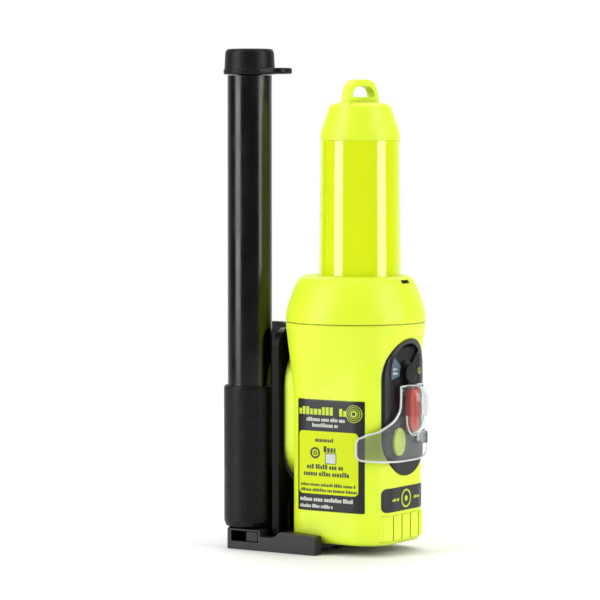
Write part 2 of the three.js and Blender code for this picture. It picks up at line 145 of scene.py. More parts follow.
def brushed_metal(name, colour, roughness):
    material = moulded(name, colour, roughness, grain=500.0, depth=0.08, spread=0.08)
    material.node_tree.nodes["Principled BSDF"].inputs["Metallic"].default_value = 1.0
    return material


def clear_plastic(name):
    """Clear polycarbonate with a faint haze and fine scratches."""
    material, tree, shader, coords = new_material(name)
    scratches = noise(tree, coords, 320.0, 2.0, stretch=(1.0, 0.15, 1.0))
    tree.links.new(remap(tree, scratches, 0.5, 0.75, 0.02, 0.1), shader.inputs["Roughness"])
    shader.inputs["Base Color"].default_value = (0.96, 0.985, 0.98, 1)
    shader.inputs["Transmission Weight"].default_value = 0.975
    shader.inputs["IOR"].default_value = 1.32
    shader.inputs["Specular IOR Level"].default_value = 0.7
    bump = tree.nodes.new("ShaderNodeBump")
    bump.inputs["Strength"].default_value = 0.05
    bump.inputs["Distance"].default_value = 0.0003
    tree.links.new(noise(tree, coords, 45.0, 2.0), bump.inputs["Height"])
    tree.links.new(bump.outputs["Normal"], shader.inputs["Normal"])
    return material


FLUORESCENT = (0.76, 0.93, 0.028)
# painted shade: the housing's crevices and gaps darken toward a dark olive
housing_yellow = moulded("housing_yellow", FLUORESCENT, 0.42, mottle=0.02, crevice_shade=(0.25, 0.32, 0.004),
                         Specular_IOR_Level=0.5, Subsurface_Weight=0.06, Subsurface_Scale=0.004)
radome_yellow = moulded("radome_yellow", (0.74, 0.88, 0.004), 0.09, grain=120.0, depth=0.02,
                        spread=0.03, mottle=0.01, Specular_IOR_Level=0.6, Coat_Weight=0.6)
button_yellow = moulded("button_yellow", (0.66, 0.82, 0.05), 0.35, mottle=0.02)
frame_black = moulded("bracket_black", (0.014, 0.0145, 0.016), 0.4, grain=700.0, depth=0.1,
                      mottle=0.15, Specular_IOR_Level=0.45)
# painted shade: a darker, less reflective copy of the bracket black, used on the hoop and the back plate,
# which lie in the pole's shade
hoop_black = moulded("hoop_black", (0.003, 0.003, 0.0035), 0.36, mottle=0.1, Specular_IOR_Level=0.12)
catch_grey = moulded("catch_grey", (0.022, 0.024, 0.026), 0.45, depth=0.1, Specular_IOR_Level=0.3)
tube_black = moulded("tube_black", (0.0014, 0.0014, 0.0016), 0.22, grain=300.0, depth=0.03,
                     Specular_IOR_Level=0.5)
sleeve_black = moulded("sleeve_black", (0.003, 0.003, 0.0034), 0.42, grain=1100.0, depth=0.16,
                       speckle=(0.035, 0.035, 0.037), Specular_IOR_Level=0.22)
cap_black = moulded("cap_black", (0.003, 0.003, 0.0035), 0.42, grain=900.0, depth=0.12,
                    Specular_IOR_Level=0.25)
panel_black = moulded("panel_black", (0.006, 0.006, 0.0065), 0.3, Specular_IOR_Level=0.35)
# painted shade: a near-black, barely reflective colour, darker than the panel, for the dial recess floor
# and for the strips standing in for the sleeve's split grooves
recess_shade_black = moulded("recess_shade_black", (0.0015, 0.0015, 0.0015), 0.5, Specular_IOR_Level=0.06)
label_black = moulded("label_black", (0.009, 0.009, 0.01), 0.3, depth=0.02, Specular_IOR_Level=0.4)
label_yellow = moulded("label_yellow", (0.66, 0.78, 0.004), 0.5, depth=0.02, mottle=0.02,
                       Specular_IOR_Level=0.2)
print_light = moulded("print_light", (0.62, 0.66, 0.6), 0.5, depth=0.02)
print_dark = moulded("print_dark", (0.03, 0.04, 0.015), 0.5, depth=0.02)
print_yellow = moulded("print_yellow", (0.6, 0.76, 0.03), 0.45, depth=0.02)
window_blue = moulded("window_blue", (0.085, 0.145, 0.2), 0.3, Coat_Weight=0.4)
lens_olive = moulded("lens_olive", (0.14, 0.16, 0.02), 0.12, Coat_Weight=0.8)
lever_red = moulded("lever_red", (0.68, 0.045, 0.022), 0.3, mottle=0.04, Coat_Weight=0.3)
hub_black = moulded("hub_black", (0.004, 0.004, 0.0045), 0.38, Specular_IOR_Level=0.3)
seal_black = moulded("seal_black", (0.01, 0.01, 0.01), 0.8, depth=0.1)
clear_cover = clear_plastic("clear_cover")
# painted highlight: a near-white, mostly opaque colour for the beads on the clear cover, standing in for
# the bright reflections along its edges
cover_edge_highlight = moulded("cover_edge_highlight", (0.93, 0.96, 0.94), 0.14, grain=200.0, depth=0.02, mottle=0.02,
                     Transmission_Weight=0.3, Coat_Weight=0.5)
screw_steel = brushed_metal("screw_steel", (0.55, 0.56, 0.58), 0.3)
antenna_brass = brushed_metal("antenna_brass", (0.7, 0.52, 0.22), 0.35)
board_green = moulded("board_green", (0.02, 0.12, 0.05), 0.4, grain=400.0, depth=0.1)
cell_wrap = moulded("cell_wrap", (0.03, 0.06, 0.14), 0.3)
glass_switch = moulded("glass_switch", (0.4, 0.46, 0.46), 0.1)


# ------------------------------------------------------------------ mesh helpers
def shade(bm, angle=32.0):
    for face in bm.faces:
        face.smooth = True
    for edge in bm.edges:
        if len(edge.link_faces) != 2 or edge.calc_face_angle(0) > math.radians(angle):
            edge.smooth = False


def even_normals(obj):
    """Keeps large faces flat-looking next to their rounded edges."""
    modifier = obj.modifiers.new("even_normals", "WEIGHTED_NORMAL")
    modifier.keep_sharp = True


def piece(name, bm, material, body, replaces=(), angle=32.0):
    """Turns a finished bmesh into a piece that rides on a body."""
    bmesh.ops.recalc_face_normals(bm, faces=bm.faces)
    shade(bm, angle)
    mesh = bpy.data.meshes.new(name)
    bm.to_mesh(mesh)
    bm.free()
    obj = bpy.data.objects.new(name, mesh)
    bpy.context.scene.collection.objects.link(obj)
    mesh.materials.append(material)
    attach(obj, body)
    if replaces:
        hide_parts(*replaces)
    even_normals(obj)
    return obj


def rounded_corners(points, radius, steps=4, closed=True):
    """Replaces each corner of an outline by a short curve."""
    out = []
    count = len(points)
    for i, point in enumerate(points):
        if not closed and i in (0, count - 1):
            out.append(tuple(point))
            continue
        here = Vector(point)
        back = Vector(points[i - 1]) - here
        ahead = Vector(points[(i + 1) % count]) - here
        reach = radius[i] if isinstance(radius, (list, tuple)) else radius
        reach = min(reach, back.length * 0.49, ahead.length * 0.49)
        if reach < 1e-4:
            out.append(tuple(point))
            continue
        a, b = here + back.normalized() * reach, here + ahead.normalized() * reach
        for k in range(steps + 1):
            t = k / steps
            out.append(tuple((1 - t) ** 2 * a + 2 * t * (1 - t) * here + t * t * b))
    return out


def rectangle(low, high):
    return [(low[0], low[1]), (high[0], low[1]), (high[0], high[1]), (low[0], high[1])]


def pill(low, high, steps=16):
    """Outline with full round ends at the top and the bottom."""
    radius = (high[0] - low[0]) / 2
    centre = (high[0] + low[0]) / 2
    points = []
    for start, level in ((0.0, high[1] - radius), (math.pi, low[1] + radius)):
        for k in range(steps + 1):
            turn = start + math.pi * k / steps
            points.append((centre + radius * math.cos(turn), level + radius * math.sin(turn)))
    return points


def turned(profile, centre, steps=96, round_by=0.0, closed=False):
    """Solid of revolution about a vertical axis, from [radius, height] pairs in mm."""
    if round_by:
        profile = rounded_corners(profile, round_by, 3, closed)
    bm = bmesh.new()
    verts = [bm.verts.new((centre.x + r * MM, centre.y, z * MM)) for r, z in profile]
    edges = [bm.edges.new(pair) for pair in zip(verts, verts[1:])]
    if closed:
        edges.append(bm.edges.new((verts[-1], verts[0])))
    bmesh.ops.spin(bm, geom=verts + edges, cent=(centre.x, centre.y, 0), axis=(0, 0, 1),
                   dvec=(0, 0, 0), angle=2 * math.pi, steps=steps, use_merge=True)
    bmesh.ops.remove_doubles(bm, verts=bm.verts, dist=1e-7)
    return bm


# planes: how an outline's (a, b) and its depth c lie in the row frame, in mm from the radome axis
FACING_X = Matrix(((0, 0, 1, 0), (1, 0, 0, 0), (0, 1, 0, 0), (0, 0, 0, 1)))
FACING_Y = Matrix(((1, 0, 0, 0), (0, 0, -1, 0), (0, 1, 0, 0), (0, 0, 0, 1)))
FACING_Z = Matrix.Identity(4)


def plate(outlines, low, high, facing, bevel=0.4, at=None):
    """Flat piece from closed outlines (the first is the rim, the rest are holes), bevelled all round."""
    curve = bpy.data.curves.new("outline", "CURVE")
    curve.dimensions = "2D"
    curve.fill_mode = "BOTH"
    curve.extrude = (high - low) / 2 - bevel
    curve.bevel_depth = bevel
    curve.bevel_resolution = 2
    curve.offset = -bevel
    for outline in outlines:
        spline = curve.splines.new("POLY")
        spline.points.add(len(outline) - 1)
        for spot, (a, b) in zip(spline.points, outline):
            spot.co = (a, b, 0, 1)
        spline.use_cyclic_u = True
    holder = bpy.data.objects.new("outline", curve)
    bpy.context.scene.collection.objects.link(holder)
    bpy.context.view_layer.update()
    mesh = bpy.data.meshes.new_from_object(holder.evaluated_get(bpy.context.evaluated_depsgraph_get()))
    bpy.data.objects.remove(holder)
    bm = bmesh.new()
    bm.from_mesh(mesh)
    bpy.data.meshes.remove(mesh)
    bmesh.ops.remove_doubles(bm, verts=bm.verts, dist=1e-4)
    place = at if at is not None else Vector((AXIS.x, AXIS.y, 0))
    move = Matrix.Translation((0, 0, (high + low) / 2))
    bmesh.ops.transform(bm, matrix=Matrix.Translation(place) @ Matrix.Scale(MM, 4) @ facing @ move,
                        verts=bm.verts)
    return bm


def refined(node, bevel=0.4, segments=2, angle=28.0):
    """A CAD node's own shape with its edges rounded."""
    bm = bmesh.new()
    bm.from_mesh(NODES[node].data)
    bmesh.ops.remove_doubles(bm, verts=bm.verts, dist=2e-6)
    bmesh.ops.dissolve_limit(bm, angle_limit=math.radians(2), verts=bm.verts, edges=bm.edges)
    sharp = [e for e in bm.edges
             if len(e.link_faces) == 2 and e.calc_face_angle(0) > math.radians(angle)]
    bmesh.ops.bevel(bm, geom=sharp, offset=bevel * MM, offset_type="OFFSET", segments=segments,
                    profile=0.5, affect="EDGES", clamp_overlap=True, material=-1)
    return bm


def carve(obj, *cutters):
    """Cuts bmesh shapes out of a piece."""
    obj.modifiers.clear()
    for bm in cutters:
        bmesh.ops.recalc_face_normals(bm, faces=bm.faces)
        mesh = bpy.data.meshes.new("cutter")
        bm.to_mesh(mesh)
        bm.free()
        cutter = bpy.data.objects.new("cutter", mesh)
        bpy.context.scene.collection.objects.link(cutter)
        modifier = obj.modifiers.new("cut", "BOOLEAN")
        modifier.operation = "DIFFERENCE"
        modifier.solver = "EXACT"
        modifier.object = cutter
        bpy.context.view_layer.update()
        made = bpy.data.meshes.new_from_object(
            obj.evaluated_get(bpy.context.evaluated_depsgraph_get()))
        obj.modifiers.remove(modifier)
        bpy.data.objects.remove(cutter)
        bm = bmesh.new()
        bm.from_mesh(made)
        shade(bm)
        bm.to_mesh(obj.data)
        bm.free()
    even_normals(obj)


# ------------------------------------------------------------------ the beacon's form
# in mm: widths from the radome axis, heights from the row frame's floor
FRONT, REAR, HALF, CORNER = 29.1, 31.9, 28.7, 16.9
BASE, SEAM_Z, SEAM_R = 5.8, 124.7, 38.3
SEAM_SHIFT = (SEAM.x - AXIS.x) / MM
FLARE_START, FLARE_TILT, FLARE_POWER = 94.5, 14.5, 1.1  # the flare to the seam starts higher in front
FOOT_TOP, FOOT_TUCK = 11.0, 2.4  # below this height the skin rounds in by the tuck
SKIN_REACH = 60.0  # farther out than the skin on every side
PAST_FRONT = 45.0  # where cutters of the front face end
HUB = 98.0  # height of the dial's axis
BUTTON = (-9.7, 61.7)  # centre of the test button, as (y, z)
LED = (11.9, 98.7)


def housing_radius(angle, z, offset):
    """Distance from the radome axis to the housing's skin, moved out by an offset."""
    c, s = abs(math.cos(angle)), abs(math.sin(angle))
    depth = (FRONT if math.cos(angle) > 0 else REAR) + offset
    half, corner = HALF + offset, CORNER + offset
    cx, cy = depth - corner, half - corner
    if depth * s <= cy * c:
        box = depth / c
    elif half * c <= cx * s:
        box = half / s
    else:
        along = cx * c + cy * s
        box = along + math.sqrt(along * along - (cx * cx + cy * cy - corner * corner))
    along = SEAM_SHIFT * math.cos(angle)
    ring = along + math.sqrt(along * along - SEAM_SHIFT ** 2 + (SEAM_R + offset) ** 2)
    start = FLARE_START + FLARE_TILT * math.cos(angle)
    grown = min(1.0, max(0.0, (z - start) / (SEAM_Z - start))) ** FLARE_POWER
    low = min(1.0, max(0.0, (FOOT_TOP - z) / (FOOT_TOP - BASE)))
    tuck = FOOT_TUCK * (1 - math.sqrt(1 - low * low))
    return (1 - grown) * box + grown * ring - tuck


def row_point(x, y, z):
    return Vector((AXIS.x + x * MM, AXIS.y + y * MM, z * MM))


def on_skin(angle, z, offset):
    radius = housing_radius(angle, z, offset)
    return radius * math.cos(angle), radius * math.sin(angle), z


def solve(outside, low, high):
    """The value from low to high at which outside(value) turns true, by halving."""
    for _ in range(26):
        mid = (low + high) / 2
        if outside(mid):
            high = mid
        else:
            low = mid
    return (low + high) / 2


def front_skin(y, z, offset):
    """Point of the front skin at that width and height."""
    x = solve(lambda v: math.hypot(v, y) > housing_radius(math.atan2(y, v), z, offset), 0, SKIN_REACH)
    return x, y, z


def side_skin(x, z, offset):
    """Point of the label side's skin at that length and height."""
    y = solve(lambda v: math.hypot(x, v) > housing_radius(math.atan2(-v, x), z, offset), 0, SKIN_REACH)
    return x, -y, z


def wrapped(span, low, high, place, columns=24, rows=24, rim=0.3):
    """A skin patch with thickness: span(v) gives (height, left, right) for v from 0 to 1."""
    bm = bmesh.new()
    bmesh.ops.create_grid(bm, x_segments=columns, y_segments=rows, size=0.5)
    layer = bm.verts.layers.float_vector.new("spot")
    for vert in bm.verts:
        edge = min(0.5 - abs(vert.co.x), 0.5 - abs(vert.co.y)) < 1e-4
        vert[layer] = (vert.co.x + 0.5, vert.co.y + 0.5, 1.0 if edge else 0.0)
    under = list(bm.verts)
    made = bmesh.ops.extrude_face_region(bm, geom=list(bm.faces), use_keep_orig=True)
    upper = [g for g in made["geom"] if isinstance(g, bmesh.types.BMVert)]
    for verts, offset, drop in ((under, low, 0.0), (upper, high, rim)):
        for vert in verts:
            u, v, edge = vert[layer]
            z, left, right = span(v)
            vert.co = row_point(*place(left + (right - left) * u, z, offset - drop * edge))
    bmesh.ops.remove_doubles(bm, verts=bm.verts, dist=1e-6)
    return bm


def rounded_span(low, high, radii):
    """Rows of a rounded rectangle; radii are (bottom, top) or (bottom, top, top right)."""
    (a0, z0), (a1, z1) = low, high
    bottom, top = radii[0], radii[1]
    top_right = radii[2] if len(radii) > 2 else top

    def inset(distance, radius):
        if distance >= radius:
            return 0.0
        return radius - math.sqrt(max(0.0, radius ** 2 - (radius - distance) ** 2))

    def span(v):
        # rows bunch up towards both ends, where the corners curve
        z = z0 + (z1 - z0) * (0.5 - 0.5 * math.cos(math.pi * v))
        pull = inset(z - z0, bottom)
        return z, a0 + pull + inset(z1 - z, top), a1 - pull - inset(z1 - z, top_right)

    return span


# ------------------------------------------------------------------ beacon shells
def front_cutter(outline, floor):
    """Cuts an outline into the front face down to a floor."""
    return plate([outline], floor, PAST_FRONT, FACING_X, 0.05)


def housing_body():
    rows, columns = 56, 144
    foot_share, foot_height, crowding = 0.25, 8.0, 1.6  # rows crowd together towards the rounded foot
    foot_end = BASE + foot_height
    rim_inset = 0.5
    bm = bmesh.new()
    bmesh.ops.create_grid(bm, x_segments=columns, y_segments=rows, size=0.5)
    for vert in bm.verts:
        v = vert.co.y + 0.5
        if v < foot_share:
            z = BASE + (v / foot_share) ** crowding * foot_height
        else:
            z = foot_end + (v - foot_share) / (1 - foot_share) * (SEAM_Z - foot_end)
        inset = rim_inset if v > 0.999 else 0.0
        vert.co = row_point(*on_skin(2 * math.pi * (vert.co.x + 0.5), z, -inset))
    bmesh.ops.remove_doubles(bm, verts=bm.verts, dist=1e-6)
    rims = [e for e in bm.edges if len(e.link_faces) == 1]
    bmesh.ops.holes_fill(bm, edges=rims, sides=0)
    shell = piece("beacon_housing", bm, housing_yellow, "beacon", ["lower_housing"])
    carve(shell, front_cutter(arc_band(6.3, 16.7, 43, 194), 28.3),
          front_cutter(oval(*BUTTON, 5.7, 8.05), 26))


def housing_details():
    boss = plate([pill((-22, 36), (22, 113))], -35.5, -26, FACING_X, 1.6)
    piece("housing_rear_boss", boss, housing_yellow, "beacon")
    pitch, half = 8.8, 3.95
    for i in range(5):
        y = pitch * (i - 2)
        rib = wrapped(rounded_span((y - half, 8.2), (y + half, 21.8), (0.4, 0.4, 3.0)), -1, 0.98,
                      front_skin, 8, 14, 0.45)
        piece(f"grip_rib_{i + 1}", rib, housing_yellow, "beacon")


def shoulder_and_radome():
    dome = turned(
        [(19, 123.6), (37.2, 123.6), (37.2, 125.25), (38.0, 125.3), (38.25, 125.75), (38.05, 129.2),
         (36.4, 136), (34.1, 142.3), (32.4, 146.2), (30.6, 148.7), (28.2, 150.05), (26.0, 150.4),
         (19, 150.4)],
        SEAM, 128, 0.25, True)
    shoulder = piece("shoulder_dome", dome, housing_yellow, "beacon",
                     ["shoulder_cover"], 40)
    slot = plate([rounded_corners(rectangle((-3.9, 146.4), (3.9, 148.3)), 0.9)], 26.4, 40, FACING_X, 0.1)
    carve(shoulder, slot)
    # painted shade: a black piece at the bottom of the slot stands in for the shade inside the hole
    dark = plate([rounded_corners(rectangle((-3.8, 146.5), (3.8, 148.2)), 0.8)], 24, 27.2, FACING_X, 0.1)
    piece("shoulder_slot_shade", dark, seal_black, "beacon")
    seal = turned([(35, 122.2), (37, 122.2), (37, 123.4), (35, 123.4)], SEAM, 96, 0.0, True)
    piece("seam_gasket", seal, seal_black, "beacon", ["seam_seal"])
    wall = turned([(20, 144), (22.4, 144), (22.4, 150), (21.7, 223.3), (21.6, 223.44), (19.7, 223.44)],
                  AXIS, 144, 0.0, True)
    piece("radome_wall", wall, radome_yellow, "beacon", ["radome_tube"])


def cap_with_eye():
    cap = turned(
        [(0, 222), (19, 222), (19, 223.46), (21.6, 223.47), (21.7, 223.62), (21.62, 225.5), (21.2, 228.5),
         (20.5, 231), (19.6, 233.4), (18.6, 236.4), (17.5, 239.6), (16.7, 241.8), (15.2, 243.3),
         (12.6, 243.8), (0, 243.8)],
        AXIS, 128, 0.5)
    piece("radome_cap_shell", cap, housing_yellow, "beacon", ["radome_cap"], 50)
    rim = rounded_corners([(-16.3, 242), (16.3, 242), (15.4, 249.4), (9.6, 256.45), (-9.6, 256.45),
                           (-15.4, 249.4)], [0, 0, 4.5, 5.5, 5.5, 4.5], 8)
    eye = rounded_corners([(-10.9, 247), (10.9, 247), (10.4, 250), (6.4, 252.6), (-6.4, 252.6),
                           (-10.4, 250)], [1.0, 1.0, 1.8, 3.4, 3.4, 1.8], 8)
    loop = plate([rim, eye], -2.55, 2.55, FACING_X, 0.7)
    piece("lanyard_eye", loop, housing_yellow, "beacon")
    web = plate([rounded_corners([(-17, 240), (17, 240), (16.4, 244.2), (-16.4, 244.2)], 0.5)],
                -3.3, 3.3, FACING_X, 0.6)
    piece("eye_root", web, housing_yellow, "beacon")


# ------------------------------------------------------------------ control panel
def arc_band(bore, radius, start, end, steps=20):
    points = []
    for r, a, b in ((radius, start, end), (bore, end, start)):
        for k in range(steps + 1):
            turn = math.radians(a + (b - a) * k / steps)
            points.append((r * math.cos(turn), HUB + r * math.sin(turn)))
    return points


def oval(y, z, a, b, steps=48):
    turns = [2 * math.pi * k / steps for k in range(steps)]
    return [(y + a * math.cos(t), z + b * math.sin(t)) for t in turns]


def control_panel():
    skin = wrapped(rounded_span((-21, 42.6), (21, 116.7), (20.9, 20.9)), -1.1, 0.9, front_skin,
                   48, 64, 0.45)
    panel = piece("panel_plate", skin, panel_black, "beacon", ["control_panel"], 40)
    carve(panel, front_cutter(arc_band(6.6, 16.3, 45, 192), 29.0),
          front_cutter(oval(*BUTTON, 5.6, 7.95), 20), front_cutter(oval(*LED, 2.3, 2.3, 24), 20))
    # painted shade: the recess floor is darker than the panel around it
    floor = plate([arc_band(6.0, 16.6, 44, 193)], 28.32, 28.75, FACING_X, 0.05)
    piece("dial_recess_floor", floor, recess_shade_black, "beacon")
    window = plate([rounded_corners(arc_band(6.8, 15.4, 143, 191, 8), 0.4, 2)], 28.85, 29.5,
                   FACING_X, 0.15)
    piece("status_lens", window, window_blue, "beacon", ["status_window"])
    lens = plate([oval(*LED, 2, 2, 32)], 28.2, 30.9, FACING_X, 0.8)
    piece("led_dome", lens, lens_olive, "beacon", ["led_lens"])
    button = plate([oval(*BUTTON, 5.25, 7.6)], 29.2, 31.55, FACING_X, 0.9)
    piece("oval_button", button, button_yellow, "button", ["test_button"])


def lever():
    hub = plate([oval(0, HUB, 5.25, 5.25)], 31.25, 32.9, FACING_X, 0.8)
    piece("lever_hub", hub, hub_black, "lever", ["switch_hub"])
    neck = plate([rounded_corners(rectangle((-3, 89.6), (3, 96)), 0.6)], 31.25, 32.6, FACING_X, 0.3)
    piece("lever_neck", neck, hub_black, "lever")
    outline = rounded_corners(
        [(-4.4, 89.8), (-5.1, 86), (-5.1, 69.5), (-3.2, 66.9), (3.2, 66.9), (4.5, 69.5),
         (4.5, 74.6), (6.1, 77.2), (4.5, 79.8), (4.5, 86), (4, 89.8)], 0.8, 3)
    piece("lever_grip", plate([outline], 31.45, 35.55, FACING_X, 0.8), lever_red, "lever",
          ["switch_lever"])
    rib = plate([rounded_corners(rectangle((-1.1, 70), (1.1, 86)), 1.0)], 34.5, 35.9, FACING_X, 0.4)
    piece("lever_rib", rib, lever_red, "lever")


# ------------------------------------------------------------------ clear cover
COVER_LOW, COVER_HIGH = 51.3, 91.5
COVER_INNER, COVER_MIDDLE, COVER_OUTER = 3.3, 4.0, 4.55  # how far its wall stands off the housing
BULB_LOW, BULB_HIGH, BULB_DEPTH = 74.8, 83.2, 31.0  # the lever's half-round bulb is straight between
BULB_INNER, BULB_OUTER = 9.5, 10.75
# the cover's left and right edges, as (height, degrees round from the front)
BOOT_LEFT = [(51.3, -16), (51.8, -38), (52.6, -57.5), (53.8, -60.3), (55.6, -61.2), (62.4, -61.2),
             (64.4, -59.4), (65.4, -55), (68.6, -41), (72.2, -30.5), (75, -25), (78, -21.2),
             (81, -19.4), (85, -19), (91.5, -19)]
BOOT_RIGHT = [(51.3, 10), (52, 19), (54, 24.5), (57, 26.8), (62, 26), (65.5, 22.5), (69, 19.6),
              (73, 18.6), (91.5, 18.6)]


def boot_edge(table, z):
    """Angle of an edge at a height; long steps ease in and out."""
    for (z0, a0), (z1, a1) in zip(table, table[1:]):
        if z <= z1:
            t = max(0.0, (z - z0) / (z1 - z0))
            t = t * t * (3 - 2 * t) if abs(a1 - a0) > 12 else t
            return a0 + (a1 - a0) * t
    return table[-1][1]


def cover_point(angle, z, offset):
    """Outer or inner skin of the cover: the shell, with the half-round bulb blended on."""
    turn = math.radians(angle)
    x, y, z = on_skin(turn, z, offset)
    radius = BULB_OUTER if offset > COVER_MIDDLE else BULB_INNER
    drop = max(0.0, BULB_LOW - z, z - BULB_HIGH)
    left = radius * radius - y * y - drop * drop
    if left > 0 and abs(turn) < 1.0:
        x = max(x, BULB_DEPTH + math.sqrt(left))
    return x, y, z


def dense(path, step=1.2):
    """Adds points along the straight runs of an (angle, height) path."""
    out = []
    for (a0, z0), (a1, z1) in zip(path, path[1:] + path[:1]):
        count = max(1, round(math.hypot((a1 - a0) * 0.55, z1 - z0) / step))
        out += [(a0 + (a1 - a0) * k / count, z0 + (z1 - z0) * k / count) for k in range(count)]
    return out


def bead(points, radius, closed=True):
    """A round bead along a path of points."""
    curve = bpy.data.curves.new("bead", "CURVE")
    curve.dimensions = "3D"
    curve.bevel_depth = radius * MM
    curve.bevel_resolution = 3
    curve.use_fill_caps = True
    spline = curve.splines.new("POLY")
    spline.points.add(len(points) - 1)
    for spot, point in zip(spline.points, points):
        spot.co = (*row_point(*point), 1)
    spline.use_cyclic_u = closed
    holder = bpy.data.objects.new("bead", curve)
    bpy.context.scene.collection.objects.link(holder)
    bpy.context.view_layer.update()
    mesh = bpy.data.meshes.new_from_object(holder.evaluated_get(bpy.context.evaluated_depsgraph_get()))
    bpy.data.objects.remove(holder)
    bm = bmesh.new()
    bm.from_mesh(mesh)
    bpy.data.meshes.remove(mesh)
    return bm


def security_cover():
    def span(v):
        z = COVER_LOW + (COVER_HIGH - COVER_LOW) * v
        return z, boot_edge(BOOT_LEFT, z), boot_edge(BOOT_RIGHT, z)

    shell = wrapped(span, COVER_INNER, COVER_OUTER, cover_point, 110, 90, 0.35)
    bmesh.ops.smooth_vert(shell, verts=shell.verts, factor=0.35, use_axis_x=True, use_axis_y=True,
                          use_axis_z=True)
    piece("cover_shell", shell, clear_cover, "cover", ["security_cover"], 50)
    steps = 80
    levels = [COVER_LOW + (COVER_HIGH - COVER_LOW) * k / steps for k in range(steps + 1)]
    path = [(boot_edge(BOOT_LEFT, z), z) for z in levels]
    path += [(boot_edge(BOOT_RIGHT, z), z) for z in reversed(levels)]
    # painted highlight: the beads round the cover's rim and along the bulb's crease are coloured
    # near-white
    piece("cover_edge_bead", bead([cover_point(a, z, 3.95) for a, z in dense(path)], 0.62), cover_edge_highlight,
          "cover")
    crease = []
    for degrees in range(175, 366, 8):
        turn = math.radians(degrees)
        y, z = 9.9 * math.cos(turn), 75 + 10.2 * math.sin(turn)
        crease.append(cover_point(math.degrees(math.atan2(y, 34)), z, 4.3))
    piece("cover_crease_highlight", bead(crease, 0.42, False), cover_edge_highlight, "cover")
    tab = plate([rounded_corners(rectangle((5, 59.6), (11.4, 66.4)), 1.2)], 33.2, 36.5, FACING_X, 0.5)
    piece("cover_pull_tab", tab, clear_cover, "cover")


# ------------------------------------------------------------------ label and badge
def print_row(bm, left, right, z, height, place, offset, rng, words):
    """A row of small blocks, grouped like words; widths and gaps are shares of the letters' height."""
    x, foot = left, z - height / 2
    while x < right - height * 0.4:
        for _ in range(rng.randint(*words)):
            wide = height * rng.uniform(0.36, 0.56)
            if x + wide > right:
                break
            tall = height * rng.choice((0.74, 0.74, 1.0))
            low, high = (x, foot), (x + wide, foot + tall)
            block = wrapped(rounded_span(low, high, (0, 0)), offset - 0.12, offset, place, 1, 1, 0.0)
            mesh = bpy.data.meshes.new("block")
            block.to_mesh(mesh)
            block.free()
            bm.from_mesh(mesh)
            bpy.data.meshes.remove(mesh)
            x += wide + height * 0.14
        x += height * 0.34


def printed(name, rows, material, place, offset, seed):
    rng = random.Random(seed)
    bm = bmesh.new()
    for left, right, z, height, words in rows:
        print_row(bm, left, right, z, height, place, offset, rng, words)
    piece(name, bm, material, "beacon")


def side_label():
    sheet = wrapped(rounded_span((-22.4, 23.6), (19.8, 84.0), (0.5, 0.5)), -0.3, 0.22, side_skin,
                    60, 24, 0.08)
    piece("label_sheet", sheet, label_black, "beacon", ["side_label"])
    field = wrapped(rounded_span((-21.3, 32.8), (16.6, 66.9), (2.4, 2.4)), 0.1, 0.3, side_skin,
                    56, 20, 0.04)
    piece("label_field", field, label_yellow, "beacon")
    printed("label_title_bars", [(-21.2, 1.3, 77.9, 4.3, (10, 10)), (4.9, 10.3, 77.6, 4.1, (3, 3))],
            print_yellow, side_skin, 0.34, 3)
    printed("label_light_bars",
            [(-15.9, 8.9, 73.3, 2.1, (3, 7)), (-12.3, 4.1, 70.2, 2.1, (11, 11)),
             (-20.5, 14.5, 29.9, 2.3, (4, 8)), (-20.5, 1.7, 26.2, 1.9, (3, 9))],
            print_light, side_skin, 0.34, 5)
    printed("label_dark_bars",
            [(-10.4, 1.1, 62.2, 2.2, (9, 9)), (-5.0, 4.6, 57.3, 3.3, (4, 5)),
             (-15.6, 8.1, 47.7, 2.6, (3, 7)), (-17.8, 12.1, 43.9, 2.6, (3, 10)),
             (-19.9, 15.8, 37.9, 1.7, (3, 8)), (-19.9, 15.8, 35.0, 1.7, (2, 9))],
            print_dark, side_skin, 0.34, 7)
    surround = wrapped(rounded_span((-4.1, 49.3), (3.1, 55.3), (0.2, 0.2)), 0.2, 0.34, side_skin,
                       8, 4, 0.02)
    piece("label_box_frame", surround, print_dark, "beacon")
    box = wrapped(rounded_span((-3.7, 49.7), (2.7, 54.9), (0.2, 0.2)), 0.3, 0.38, side_skin, 8, 4, 0.02)
    piece("label_blank_box", box, print_light, "beacon")
    for name, inner, outer in (("label_ring_outer", 2.0, 3.1), ("label_ring_inner", 0.5, 1.2)):
        ring_piece(name, -10.4, 55.1, inner, outer, print_dark, side_skin, 0.36)
    for i, radius in enumerate((1.0, 2.35, 3.4, 4.45)):
        ring_piece(f"label_wave_{i + 1}", 13.9, 77.2, radius, radius + (0.8 if i == 0 else 0.3),
                   print_yellow, side_skin, 0.36)


def ring_piece(name, a, z, bore, radius, material, place, offset):
    """A flat ring printed on the skin, by turning a grid round a centre."""
    bm = bmesh.new()
    bmesh.ops.create_grid(bm, x_segments=40, y_segments=1, size=0.5)
    layer = bm.verts.layers.float_vector.new("spot")
    for vert in bm.verts:
        turn = math.radians(360.0 * (vert.co.x + 0.5))
        r = bore + (radius - bore) * (vert.co.y + 0.5)
        vert[layer] = (a + r * math.cos(turn), z + r * math.sin(turn), 0)
    under = list(bm.verts)
    made = bmesh.ops.extrude_face_region(bm, geom=list(bm.faces), use_keep_orig=True)
    upper = [g for g in made["geom"] if isinstance(g, bmesh.types.BMVert)]
    for verts, level in ((under, offset - 0.15), (upper, offset)):
        for vert in verts:
            vert.co = row_point(*place(vert[layer][0], vert[layer][1], level))
    bmesh.ops.remove_doubles(bm, verts=bm.verts, dist=1e-6)
    piece(name, bm, material, "beacon")


